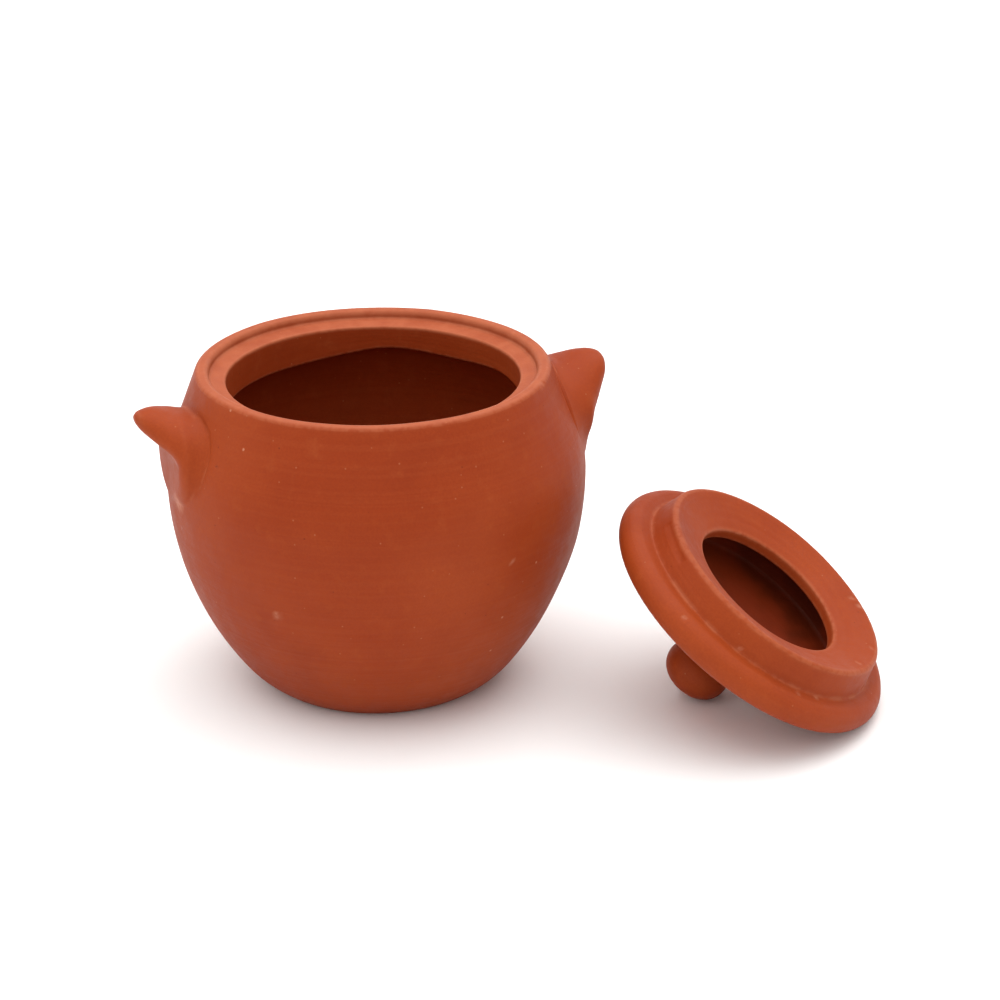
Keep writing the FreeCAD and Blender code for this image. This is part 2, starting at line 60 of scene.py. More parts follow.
# The rim: a rounded crest with a narrow flat, the sunk gallery, the mouth and the collar
CREST, CREST_FLAT = 1.6, 0.96
LIP_END = math.pi * 0.98
GALLERY_DEPTH, GALLERY_SLOPE, GALLERY_WIDTH = 2.5, math.radians(12.0), 4.8
GALLERY_CORNER, MOUTH_ROUND, COLLAR_LIP, UNDERCUT = 0.55, 0.8, 1.0, 3.0
COLLAR_FOOT = RIM - 12.0

# Spacing of the profile's points on the rim's small rounds, and of the spokes it is turned to
RIM_STEP = 0.16
POT_SPOKES, LID_SPOKES = 256, 400

FLANK_C = np.array([BELLY_R - FLANK_R, BELLY_Z])
SHOULDER_C = np.array([BELLY_R - SHOULDER_R, BELLY_Z])


# ---- Profiles ----


def polar(centre, radius, angle):
    """The point at an angle on a circle."""
    return np.array(centre) + radius * np.array([math.cos(angle), math.sin(angle)])


def heel_centre():
    """Centre of the heel's arc, which touches both the flank and the foot's rounded edge."""
    foot = np.array([FOOT_R, FOOT_EDGE])
    to_flank, to_foot = FLANK_R - HEEL_R, HEEL_R - FOOT_EDGE
    gap = foot - FLANK_C
    length = np.hypot(*gap)
    along = (length ** 2 + to_flank ** 2 - to_foot ** 2) / (2 * length)
    turn = math.acos(along / to_flank)
    return polar(FLANK_C, to_flank, math.atan2(gap[1], gap[0]) + turn)


HEEL_C = heel_centre()
FLANK_START = math.atan2(HEEL_C[1] - FLANK_C[1], HEEL_C[0] - FLANK_C[0])


def arc(centre, radius, first, last, step=1.0):
    """Points along an arc, about a step apart, without the last one."""
    count = max(3, int(abs(last - first) * radius / step) + 1)
    turns = np.linspace(first, last, count, endpoint=False)
    return [polar(centre, radius, turn) for turn in turns]


def run(start, end, step=1.5):
    """Points along a straight line, about a step apart, without the last one."""
    start, end = np.array(start, float), np.array(end, float)
    count = max(2, int(np.hypot(*(end - start)) / step) + 1)
    return [start + (end - start) * k / count for k in range(count)]


def along_slope(inset, height):
    """The point at a height on the straight slope, or on its copy that lies inside by an inset."""
    start = polar(SHOULDER_C, SHOULDER_R - inset, SHOULDER_TURN)
    rise = height - start[1]
    return start + np.array([-rise * math.tan(SHOULDER_TURN), rise])


CREST_C = along_slope(CREST, RIM - CREST)
GALLERY_R = CREST_C[0] - CREST_FLAT - CREST
MOUTH_R = GALLERY_R - GALLERY_WIDTH


def wall_points(inset, base, base_round, step=1.3):
    """Base, heel, flank and shoulder from the axis up to the start of the straight slope."""
    reach = HEEL_R - inset - base_round
    x = HEEL_C[0] + math.sqrt(reach ** 2 - (base + base_round - HEEL_C[1]) ** 2)
    corner = np.array([x, base + base_round])
    heel_start = math.atan2(corner[1] - HEEL_C[1], corner[0] - HEEL_C[0])
    points = run((0.0, base), (x, base), 2.5)
    points += arc(corner, base_round, -QUARTER, heel_start, min(0.35, step))
    points += arc(HEEL_C, HEEL_R - inset, heel_start, FLANK_START, step)
    points += arc(FLANK_C, FLANK_R - inset, FLANK_START, 0, step)
    points += arc(SHOULDER_C, SHOULDER_R - inset, 0, SHOULDER_TURN, step)
    return points, polar(SHOULDER_C, SHOULDER_R - inset, SHOULDER_TURN)


def pot_profile():
    """The pot from its foot's centre, up the wall, over the rim and down to the floor's centre."""
    points, slope_start = wall_points(0, 0, FOOT_EDGE)
    points += run(slope_start, polar(CREST_C, CREST, SHOULDER_TURN), 0.9)
    points += arc(CREST_C, CREST, SHOULDER_TURN, QUARTER, RIM_STEP)
    lip_c = np.array([GALLERY_R + CREST, RIM - CREST])
    points += run((CREST_C[0], RIM), (lip_c[0], RIM), 0.3)
    points += arc(lip_c, CREST, QUARTER, LIP_END, RIM_STEP)

    ledge = np.array([GALLERY_R, RIM - GALLERY_DEPTH])
    mouth_x = MOUTH_R + MOUTH_ROUND
    fall = (GALLERY_R - mouth_x) * math.tan(GALLERY_SLOPE)
    mouth_c = np.array([mouth_x, ledge[1] - fall - MOUTH_ROUND / math.cos(GALLERY_SLOPE)])
    mouth_turn = QUARTER + GALLERY_SLOPE
    corner = GALLERY_CORNER
    ledge_start = ledge - (corner, corner * math.tan(GALLERY_SLOPE))
    points += run(polar(lip_c, CREST, LIP_END), ledge + (0, corner), 0.3)
    points += arc(ledge + (-corner, corner), corner, 0, -QUARTER + GALLERY_SLOPE, 0.12)
    points += run(ledge_start, polar(mouth_c, MOUTH_ROUND, mouth_turn), 0.35)
    points += arc(mouth_c, MOUTH_ROUND, mouth_turn, math.pi, RIM_STEP)

    lip = COLLAR_LIP
    undercut_c = along_slope(WALL + UNDERCUT, COLLAR_FOOT - UNDERCUT)
    points += run((MOUTH_R, mouth_c[1]), (MOUTH_R, COLLAR_FOOT + lip), 0.5)
    points += arc((MOUTH_R + lip, COLLAR_FOOT + lip), lip, math.pi, math.pi * 1.5, RIM_STEP)
    points += run((MOUTH_R + lip, COLLAR_FOOT), undercut_c + (0, UNDERCUT), 0.9)
    points += arc(undercut_c, UNDERCUT, QUARTER, SHOULDER_TURN, 0.4)
    inner, inner_start = wall_points(WALL, FLOOR, FLOOR_ROUND, 2.2)
    points += run(polar(undercut_c, UNDERCUT, SHOULDER_TURN), inner_start, 1.5)
    points += [inner_start] + inner[::-1]
    return np.array(points)


def rounded(corners, step=0.3, spacing=0.9):
    """Points along a path of corners, each with its radius and height, and the arc that rounds it."""
    points = []
    for k, (x, z, radius) in enumerate(corners[1:-1], start=1):
        corner = np.array([x, z], float)
        back = np.array(corners[k - 1][:2], float) - corner
        ahead = np.array(corners[k + 1][:2], float) - corner
        back, ahead = back / np.hypot(*back), ahead / np.hypot(*ahead)
        half = math.acos(np.clip(back @ ahead, -1, 1)) / 2
        reach = radius / math.tan(half)
        start, end = corner + back * reach, corner + ahead * reach
        middle = (back + ahead) / np.hypot(*(back + ahead))
        centre = corner + middle * radius / math.sin(half)
        if points:
            points += run(points[-1], start, spacing)[1:]
        else:
            points += run(corners[0][:2], start, spacing)
        first = math.atan2(*(start - centre)[::-1])
        turn = math.atan2(*(end - centre)[::-1]) - first
        turn = (turn + math.pi) % (2 * math.pi) - math.pi
        points += arc(centre, radius, first, first + turn, step) + [end]
    return points + run(points[-1], corners[-1][:2], spacing)[1:]


def length_along(profile):
    """Length of the profile up to each of its points."""
    steps = np.hypot(*np.diff(profile, axis=0).T)
    return np.concatenate([[0], np.cumsum(steps)])


def turned_lengths(along, spokes):
    """The profile's length at each point of the mesh that it is turned to."""
    return np.concatenate([np.repeat(along[1:-1], spokes), along[[0, -1]]])


def turned_mesh(profile, spokes):
    """Points and faces of a profile turned about the axis, its two ends being on the axis."""
    angles = np.arange(spokes) * 2 * math.pi / spokes
    rings = profile[1:-1]
    x = rings[:, :1] * np.cos(angles)
    y = rings[:, :1] * np.sin(angles)
    z = np.repeat(rings[:, 1:], spokes, axis=1)
    verts = np.stack([x, y, z], -1).reshape(-1, 3)
    ends = np.array([[0, 0, profile[0][1]], [0, 0, profile[-1][1]]])
    rows = len(rings)
    row = np.arange(rows - 1)[:, None] * spokes
    here = np.arange(spokes)[None, :]
    there = (here + 1) % spokes
    quads = np.stack([row + here, row + there, row + spokes + there, row + spokes + here], -1)
    faces = [tuple(quad) for quad in quads.reshape(-1, 4).tolist()]
    first, last, top = rows * spokes, rows * spokes + 1, (rows - 1) * spokes
    faces += [(first, (k + 1) % spokes, k) for k in range(spokes)]
    faces += [(last, top + k, top + (k + 1) % spokes) for k in range(spokes)]
    return np.vstack([verts, ends]), faces


# ---- Skins ----


def smooth_step(x, low, high):
    """Runs smoothly from 0 at one end to 1 at the other."""
    t = np.clip((x - low) / (high - low), 0, 1)
    return t * t * (3 - 2 * t)


def waves(theta, seed, orders, size):
    """A slow wander round a turned edge, as a thumb and a wet sponge leave it."""
    rng = np.random.default_rng(seed)
    total = np.zeros_like(theta)
    for order in orders:
        total += rng.normal() * np.cos(order * theta + rng.uniform(0, 2 * math.pi)) / order ** 0.5
    return size * total


def axis_distance(verts):
    """Distance of each point from the pot's axis."""
    return np.hypot(verts[:, 0], verts[:, 1])


def four_corners(faces):
    """Faces as rows of four points, a triangle's last point being there twice."""
    return np.array([face if len(face) == 4 else (*face, face[-1]) for face in faces])


def skin_normals(verts, corners):
    """Unit outward normals at the points of a mesh."""
    a, b, c, d = (verts[corners[:, k]] for k in range(4))
    across = np.cross(c - a, d - b)
    normals = np.zeros_like(verts)
    for k in range(4):
        np.add.at(normals, corners[:, k], across)
    return normals / np.maximum(np.linalg.norm(normals, axis=1), 1e-9)[:, None]


def edge_bend(verts, corners):
    """How sharply the skin bends at each point: above 0 on an outward edge, below 0 in a crease."""
    normals = skin_normals(verts, corners)
    starts = np.concatenate([corners[:, k] for k in range(4)])
    ends = np.concatenate([corners[:, (k + 1) % 4] for k in range(4)])
    starts, ends = np.concatenate([starts, ends]), np.concatenate([ends, starts])
    count = np.maximum(np.bincount(starts, minlength=len(verts)), 1)
    way = verts[ends] - verts[starts]
    size = np.maximum((way * way).sum(1), 0.01)
    turn = -2 * (way * normals[starts]).sum(1) / size
    bend = np.bincount(starts, turn, len(verts)) / count
    for _ in range(3):
        bend = (bend + np.bincount(starts, bend[ends], len(verts)) / count) / 2
    return bend


def press(verts, corners, marks):
    """Pushes small marks into a skin. Each mark is a place, a reach and a depth."""
    normals = skin_normals(verts, corners)
    for place, reach, depth in marks:
        away = np.linalg.norm(verts - np.array(place), axis=1) / reach
        verts = verts - normals * (depth * (1 - smooth_step(away, 0.2, 1.0)))[:, None]
    return verts


def near_marks(verts, marks):
    """Share of pale clay at each point, from a list of places, reaches and strengths."""
    share = np.zeros(len(verts))
    for place, reach, strength in marks:
        away = np.linalg.norm(verts - np.array(place), axis=1) / reach
        share = np.maximum(share, strength * (1 - smooth_step(away, 0.3, 1.0)))
    return share


def skin_shares(verts, faces, ring, thrown, painted_shade, pale, seat_and_highlight):
    """What the clay's colour and grain follow at each point of a skin.

    ring is the length along the profile, thrown is 1 where the wheel's rings show, raw is painted shade
    that darkens the hollows and the right ear's near flank, pale is where it is smeared or chipped, and
    seat is where the lid rubs it, with a painted highlight along the rim's top.
    """
    bend = edge_bend(verts, four_corners(faces))
    shares = {"ring": ring, "thrown": thrown, "painted_shade": painted_shade, "pale": pale, "seat_and_highlight": seat_and_highlight}
    shares["wear"] = smooth_step(bend, 0.08, 0.45) * (1 - painted_shade)
    shares["crease"] = smooth_step(-bend, 0.08, 0.45) * (1 - painted_shade)
    return shares


def make_object(name, verts, faces, material, shares=None):
    """A smooth mesh object from points in millimetres, with a number per point for each share."""
    mesh = bpy.data.meshes.new(name)
    mesh.from_pydata((np.asarray(verts) * MM).tolist(), [], faces)
    mesh.update()
    mesh.shade_smooth()
    for share, values in (shares or {}).items():
        layer = mesh.attributes.new(share, "FLOAT", "POINT")
        layer.data.foreach_set("value", np.asarray(values, dtype=np.float32))
    piece = bpy.data.objects.new(name, mesh)
    bpy.context.scene.collection.objects.link(piece)
    mesh.materials.append(material)
    return piece


# ---- Clay ----

# Colours of the clay's layers: red, green and blue in linear light, and how solid they are
TINTS = {
    "base": (0.272, 0.0335, 0.0046, 1),
    "warm": (0.318, 0.0470, 0.0080, 1),
    "flush": (0.235, 0.0270, 0.0042, 1),
    "bloom": (0.345, 0.0620, 0.0140, 1),
    "rings": (0.335, 0.0580, 0.0130, 1),
    "grain": (0.185, 0.0200, 0.0030, 1),
    "light speck": (0.420, 0.1400, 0.0650, 1),
    "dark speck": (0.110, 0.0150, 0.0040, 1),
    "grit": (0.560, 0.2500, 0.1500, 1),
    # Paler where the lid rubs the ledge, and a painted highlight along the rim's top
    "seat_and_highlight": (0.400, 0.0980, 0.0400, 1),
    "rubbed": (0.420, 0.1150, 0.0480, 1),
    "dusty": (0.400, 0.1150, 0.0520, 1),
    "smeared": (0.520, 0.2100, 0.1250, 1),
    # Painted shade, for the hollows and the right ear's near flank
    "hollow": (0.075, 0.0080, 0.0015, 1),
    "hollow light": (0.150, 0.0140, 0.0020, 1),
    "pinhole": (0.080, 0.0100, 0.0025, 1),
}

# Pale grits in the pot's front
GRITS = (
    (32.78, -49.11, 49.56),
    (22.24, -50.83, 34.85),
    (20.12, -46.38, 22.82),
    (-45.07, -29.62, 85.89),
    (-46.35, -20.74, 94.22),
)


def clay_material():
    """Unglazed red clay: orange, flushed redder, with bloom, grain, pinholes and rubbed edges."""
    mat = bpy.data.materials.new("fired_clay")
    mat.use_nodes = True
    nodes, links = mat.node_tree.nodes, mat.node_tree.links
    shader = nodes["Principled BSDF"]
    place = nodes.new("ShaderNodeTexCoord").outputs["Object"]

    def put(slot, value):
        """Sets a socket to a number or colour, or links it to another socket."""
        if isinstance(value, (int, float, tuple)):
            slot.default_value = value
        else:
            links.new(value, slot)

    def noise(scale, detail=3.0, rough=0.55):
        """Cloudy noise, its scale in waves per metre."""
        node = nodes.new("ShaderNodeTexNoise")
        put(node.inputs["Scale"], scale)
        put(node.inputs["Detail"], detail)
        put(node.inputs["Roughness"], rough)
        put(node.inputs["Vector"], place)
        return node.outputs[0]

    def span(value, low, high, to_low=0.0, to_high=1.0):
        """Carries one range of values smoothly to another."""
        node = nodes.new("ShaderNodeMapRange")
        node.interpolation_type = "SMOOTHSTEP"
        put(node.inputs["From Min"], low)
        put(node.inputs["From Max"], high)
        put(node.inputs["To Min"], to_low)
        put(node.inputs["To Max"], to_high)
        put(node.inputs["Value"], value)
        return node.outputs["Result"]

    def work(kind, a, b):
        """One step of arithmetic."""
        node = nodes.new("ShaderNodeMath")
        node.operation = kind
        put(node.inputs[0], a)
        put(node.inputs[1], b)
        return node.outputs[0]

    def share_of(name):
        """A number that the mesh carries at its points."""
        node = nodes.new("ShaderNodeAttribute")
        node.attribute_name = name
        return node.outputs["Fac"]

    def mix(share, first, second):
        """The first colour, with a share of the second over it."""
        node = nodes.new("ShaderNodeMix")
        node.data_type = "RGBA"
        put(node.inputs[0], share)
        put(node.inputs[6], first)
        put(node.inputs[7], second)
        return node.outputs[2]

    def specks(scale, size, few):
        """Small round spots, in the share of cells that few leaves."""
        node = nodes.new("ShaderNodeTexVoronoi")
        put(node.inputs["Scale"], scale)
        put(node.inputs["Vector"], place)
        pick = nodes.new("ShaderNodeSeparateColor")
        put(pick.inputs[0], node.outputs["Color"])
        spot = span(node.outputs["Distance"], size * 0.55, size, 1.0, 0.0)
        return work("MULTIPLY", spot, span(pick.outputs[0], few, few + 0.02))

    def grit_at(point):
        """One round grit at a place."""
        node = nodes.new("ShaderNodeVectorMath")
        node.operation = "DISTANCE"
        put(node.inputs[0], place)
        put(node.inputs[1], tuple(c * MM for c in point))
        return span(node.outputs["Value"], 0.25 * MM, 0.50 * MM, 1.0, 0.0)

    rings = nodes.new("ShaderNodeTexNoise")
    rings.noise_dimensions = "1D"
    put(rings.inputs["W"], share_of("ring"))
    put(rings.inputs["Scale"], 0.55)
    put(rings.inputs["Detail"], 3.0)
    thrown = work("MULTIPLY", rings.outputs[0], share_of("thrown"))

    cloud, patch, mottle = noise(16.0, 4.0), noise(48.0, 3.0), noise(190.0, 3.0)
    grain, grit = noise(1500.0, 2.0, 0.6), noise(620.0, 2.0, 0.5)
    wear, crease = share_of("wear"), share_of("crease")
    painted_shade, pale, seat_and_highlight = share_of("painted_shade"), share_of("pale"), share_of("seat_and_highlight")
    light_specks, dark_specks = specks(420.0, 0.13, 0.84), specks(300.0, 0.10, 0.88)
    holes, grits = specks(95.0, 0.026, 0.88), specks(80.0, 0.028, 0.84)
    for point in GRITS:
        grits = work("MAXIMUM", grits, grit_at(point))

    # Colour, one layer over the other
    colour = mix(span(cloud, 0.34, 0.66), TINTS["base"], TINTS["warm"])
    # The painted shade's colour, a little uneven
    hollow = mix(span(patch, 0.4, 0.6), TINTS["hollow"], TINTS["hollow light"])
    layers = (
        (span(patch, 0.50, 0.78, 0.0, 0.45), TINTS["flush"]),
        (span(mottle, 0.52, 0.80, 0.0, 0.40), TINTS["bloom"]),
        (span(thrown, 0.42, 0.66, 0.0, 0.14), TINTS["rings"]),
        (span(grain, 0.30, 0.72, 0.22, 0.0), TINTS["grain"]),
        (work("MULTIPLY", light_specks, 0.45), TINTS["light speck"]),
        (work("MULTIPLY", dark_specks, 0.50), TINTS["dark speck"]),
        (work("MULTIPLY", grits, 0.55), TINTS["grit"]),
        (work("MULTIPLY", seat_and_highlight, span(mottle, 0.3, 0.7, 0.55, 0.95)), TINTS["seat_and_highlight"]),
        (work("MULTIPLY", wear, span(grit, 0.30, 0.62, 0.15, 0.50)), TINTS["rubbed"]),
        (work("MULTIPLY", crease, span(mottle, 0.40, 0.64, 0.05, 0.45)), TINTS["dusty"]),
        (work("MULTIPLY", pale, span(grit, 0.35, 0.65, 0.45, 1.0)), TINTS["smeared"]),
        # Painted shade over the hollows and the right ear's near flank
        (painted_shade, hollow),
        (work("MULTIPLY", holes, 0.8), TINTS["pinhole"]),
    )
    for share, tint in layers:
        colour = mix(share, colour, tint)
    put(shader.inputs["Base Color"], colour)

    # Matt, a little smoother where it is rubbed
    rough = work("ADD", span(mottle, 0.3, 0.7, 0.50, 0.60), span(grain, 0.3, 0.7, -0.03, 0.05))
    rough = work("SUBTRACT", rough, work("MULTIPLY", wear, 0.06))
    put(shader.inputs["Roughness"], rough)
    put(shader.inputs["Specular IOR Level"], 0.13)

    # Relief of the grain, the throwing rings and the pinholes, as shares of a millimetre
    height = work("MULTIPLY", grain, 0.030)
    for source, depth in ((grit, 0.035), (mottle, 0.070), (thrown, 0.070)):
        height = work("ADD", height, work("MULTIPLY", source, depth))
    height = work("SUBTRACT", height, work("MULTIPLY", holes, 0.250))
    bump = nodes.new("ShaderNodeBump")
    put(bump.inputs["Strength"], 1.0)
    put(bump.inputs["Distance"], MM)
    put(bump.inputs["Height"], height)
    put(shader.inputs["Normal"], bump.outputs["Normal"])
    return mat


CLAY = clay_material()


# ---- Ears ----

# Each upright section of an ear: its distance out from the pot's axis, its widest height, half width,
# rise to the top, fall to the keel, and how square its upper half is. Below them: how sharp the keel
# is, the ear's lean sideways, the trim of its near half, how far its root runs into the wall on the
# near side and over the top, between which heights the root's foot fades in, the bead of clay along
# its seam, and the scoop under it: its face, the height where it starts to bow, the bow's radius and
# the rise of the beak in degrees.
EAR_LEFT = {
    "out": (48.0, 55.0, 58.4, 60.2, 62.0, 65.0, 67.6, 69.0, 69.55),
    "level": (73.6, 73.6, 73.8, 74.6, 78.6, 82.8, 85.4, 86.6, 87.0),
    "half": (19.0, 17.6, 17.0, 15.6, 12.8, 8.4, 5.2, 3.2, 0.5),
    "rise": (13.0, 13.7, 14.3, 13.9, 10.6, 6.8, 3.7, 2.1, 0.4),
    "fall": (15.0, 14.2, 13.4, 12.8, 11.6, 8.0, 3.8, 2.3, 0.4),
    "square": (2.4, 2.4, 2.5, 2.3, 2.1, 1.9, 2.0, 2.0, 2.0),
    "keel": 2.5,
    "tilt": 0.15,
    "trim": 1.0,
    "near_join": 0.5,
    "top_join": 0.9,
    "low_join": (66, 76),
    "bead": 0.6,
    "scoop": (60.4, 75.8, 5.0, 36),
}
EAR_RIGHT = {
    "out": (48.0, 55.0, 60.2, 62.0, 65.0, 67.6, 69.0, 69.55),
    "level": (77.0, 77.0, 77.2, 81.4, 84.6, 87.0, 88.0, 88.4),
    "half": (22.0, 19.5, 17.4, 14.0, 10.8, 7.6, 4.6, 0.6),
    "rise": (12.4, 13.2, 14.7, 11.0, 7.8, 4.8, 2.9, 0.4),
    "fall": (17.0, 16.2, 15.2, 12.6, 8.0, 4.4, 2.8, 0.4),
    "square": (2.4, 2.2, 1.8, 1.7, 1.8, 2.0, 2.0, 2.0),
    "keel": 1.75,
    "tilt": 0.1,
    "trim": 1.08,
    "near_join": 5.0,
    "top_join": 4.0,
    "low_join": (62, 74),
    "bead": 0.0,
    "scoop": (58.2, 68.4, 8.0, 55),
}

# Where the bead lies along a seam: toward the front, and between two heights. The groove beside it
# lies off the seam. The root's top and far side take the wider join.
BEAD_FRONT, BEAD_RISE, BEAD_FALL, BEAD_GROOVE = (4, 9), (68, 73), (86, 90), 1.3
JOIN_TOP, JOIN_FAR = (84, 90), (-8, 2)
SCOOP_BLEND = 1.8

# An ear's skin is found along rays from an eye inside the wall. They fill an oval, seen from the eye.
EAR_EYE = np.array([35.0, 0.0, 78.0])
EYE_TO_TIP, EAR_REACH = 34.0, 69.6
OVAL_WIDE, OVAL_TALL, OVAL_UP = 1.32, 0.93, 0.02
EAR_RINGS, EAR_SPOKES, RING_POWER = 84, 150, 1.25
RAY_START, RAY_END, RAY_STEP, RAY_HALVINGS = 8, 48, 0.35, 26

# The ear itself ends short of the oval's edge, and the turned skin is cut a little outside it
EAR_FADE, EAR_FADE_DEPTH, OVAL_CUT = 0.88, 12, 1.035

OUTER = np.array(
    wall_points(0, 0, FOOT_EDGE, 0.4)[0]
    + run(polar(SHOULDER_C, SHOULDER_R, SHOULDER_TURN), polar(CREST_C, CREST, SHOULDER_TURN), 0.4)
)


def outer_radius(z):
    """Radius of the pot's outside at a height."""
    return np.interp(z, OUTER[:, 1], OUTER[:, 0])


def blend_low(a, b, reach):
    """The lower of two distances, run together smoothly over a reach."""
    h = np.maximum(reach - np.abs(a - b), 0) / reach
    return np.minimum(a, b) - h * h * reach / 4


def blend_high(a, b, reach):
    """The higher of two distances, run together smoothly over a reach."""
    return -blend_low(-a, -b, reach)


def belly_distance(x, y, z):
    """Distance outside the turned belly."""
    slope = outer_radius(z + 0.5) - outer_radius(z - 0.5)
    return (np.hypot(x, y) - outer_radius(z)) / np.sqrt(1 + slope ** 2)


ALONG = np.arange(46.0, 70.6, 0.05)


def along_ear(ear, name, x):
    """A size of the ear's sections, run smoothly through its table."""
    values = np.interp(ALONG, ear["out"], ear[name])
    for _ in range(2):
        values = np.convolve(np.pad(values, 12, "edge"), np.full(25, 1 / 25), "valid")
    return np.interp(x, ALONG, values)


def horn_distance(x, y, z, ear):
    """Distance outside an ear's horn, before the thumb's scoop."""
    level, half = along_ear(ear, "level", x), along_ear(ear, "half", x)
    cos, sin = math.cos(ear["tilt"]), math.sin(ear["tilt"])
    y, up = y * cos - (z - level) * sin, y * sin + (z - level) * cos
    y = np.where(y < 0, y * ear["trim"], y)
    tall = np.where(up > 0, along_ear(ear, "rise", x), along_ear(ear, "fall", x))
    power = np.where(up > 0, along_ear(ear, "square", x), ear["keel"])
    share = ((np.abs(y) / half) ** power + (np.abs(up) / tall) ** power) ** (1 / power)
    within = np.hypot(y, up) * (1 - 1 / np.maximum(share, 1e-3))
    return np.maximum(within, x - ear["out"][-1])


def scoop_distance(x, z, ear):
    """Distance outside the upright face under an ear, which curves out under its beak."""
    face, knee, bow_radius, slope = ear["scoop"]
    slope = math.radians(slope)
    out, up = x - face - bow_radius, z - knee
    bow = bow_radius - np.hypot(out, up)
    beak = out * math.sin(slope) - up * math.cos(slope) + bow_radius
    turn = np.arctan2(up, out)
    in_bow = (turn > QUARTER + slope) & (turn < math.pi)
    return np.where(up < 0, x - face, np.where(in_bow, bow, beak))


def ear_field(x, y, z, ear, away):
    """Negative inside the pot's wall or the ear, in millimetres near the surface."""
    belly = belly_distance(x, y, z)
    horn = blend_high(horn_distance(x, y, z, ear), scoop_distance(x, z, ear), SCOOP_BLEND)
    beside = smooth_step(-y, *BEAD_FRONT) * smooth_step(z, *BEAD_RISE)
    bead = ear["bead"] * (beside * (1 - smooth_step(z, *BEAD_FALL)))
    belly = belly + bead * np.exp(-(horn - BEAD_GROOVE) ** 2)
    wide = np.maximum(smooth_step(z, *JOIN_TOP), smooth_step(y, *JOIN_FAR))
    wide = np.maximum(wide, 1 - smooth_step(z, *ear["low_join"]))
    join = ear["near_join"] + (ear["top_join"] - ear["near_join"]) * wide
    return blend_low(belly, horn + away, join) - bead * np.exp(-(belly ** 2 + horn ** 2))


def ear_patch(side, ear):
    """The skin of an ear and of the belly round it, found along rays from inside the wall."""
    turn = np.arange(EAR_SPOKES) * 2 * math.pi / EAR_SPOKES
    ring = (np.arange(1, EAR_RINGS + 1) / EAR_RINGS) ** RING_POWER
    tip = np.array([0.0, (ear["level"][-1] - EAR_EYE[2]) / EYE_TO_TIP])
    edge = np.stack([OVAL_WIDE * np.cos(turn), OVAL_UP + OVAL_TALL * np.sin(turn)], -1)
    aim = tip + ring[:, None, None] * (edge - tip)
    aim = np.vstack([tip[None], aim.reshape(-1, 2)])
    ways = np.column_stack([np.ones(len(aim)), aim])
    ways /= np.linalg.norm(ways, axis=1)[:, None]
    share = np.concatenate([[0], np.repeat(ring, EAR_SPOKES)])
    away = EAR_FADE_DEPTH * smooth_step(share, EAR_FADE, 1.0)

    def is_inside(distance):
        """Whether the point at a distance along each ray is in the clay."""
        x, y, z = (EAR_EYE + ways * distance[:, None]).T
        return ear_field(x, y, z, ear, away) < 0

    low = np.full(len(ways), float(RAY_START))
    for distance in np.arange(RAY_START, RAY_END, RAY_STEP):
        low = np.where(is_inside(np.full(len(ways), distance)), distance, low)
    high = low + RAY_STEP
    for _ in range(RAY_HALVINGS):
        middle = (low + high) / 2
        inside = is_inside(middle)
        low, high = np.where(inside, middle, low), np.where(inside, high, middle)
    points = EAR_EYE + ways * low[:, None]
    points[:, 0] = np.clip(points[:, 0], 0, EAR_REACH) * side

    after = [(k + 1) % EAR_SPOKES for k in range(EAR_SPOKES)]
    faces = [(0, 1 + k, 1 + after[k]) for k in range(EAR_SPOKES)]
    for r in range(EAR_RINGS - 1):
        a = 1 + r * EAR_SPOKES
        b = a + EAR_SPOKES
        faces += [(a + k, b + k, b + after[k], a + after[k]) for k in range(EAR_SPOKES)]
    if side < 0:
        faces = [face[::-1] for face in faces]
    return points, faces


def patch_place(v, side):
    """Where points lie in an ear's patch: their share of the way to its edge, and their turn."""
    x = np.maximum(v[:, 0] * side - EAR_EYE[0], 0.01)
    across = v[:, 1] / x / OVAL_WIDE
    up = ((v[:, 2] - EAR_EYE[2]) / x - OVAL_UP) / OVAL_TALL
    return np.hypot(across, up), np.arctan2(up, across)


def strip_between(outer, outer_turn, inner, inner_turn):
    """Triangles that join two loops of points, each in the order of its turns."""
    count, inner_count = len(outer), len(inner)
    away = np.abs(np.exp(1j * inner_turn) - np.exp(1j * outer_turn[0]))
    p, q = 0, int(np.argmin(away))
    last_q = q + inner_count
    p_now = 0.0
    q_now = (inner_turn[q] - outer_turn[0] + math.pi) % (2 * math.pi) - math.pi
    triangles = []
    while p < count or q < last_q:
        here, after = p % count, (p + 1) % count
        inner_here, inner_after = q % inner_count, (q + 1) % inner_count
        p_step = (outer_turn[after] - outer_turn[here]) % (2 * math.pi)
        q_step = (inner_turn[inner_after] - inner_turn[inner_here]) % (2 * math.pi)
        if p < count and (q >= last_q or p_now + p_step <= q_now + q_step):
            triangles.append((outer[here], outer[after], inner[inner_here]))
            p, p_now = p + 1, p_now + p_step
        else:
            triangles.append((outer[here], inner[inner_after], inner[inner_here]))
            q, q_now = q + 1, q_now + q_step
    return triangles


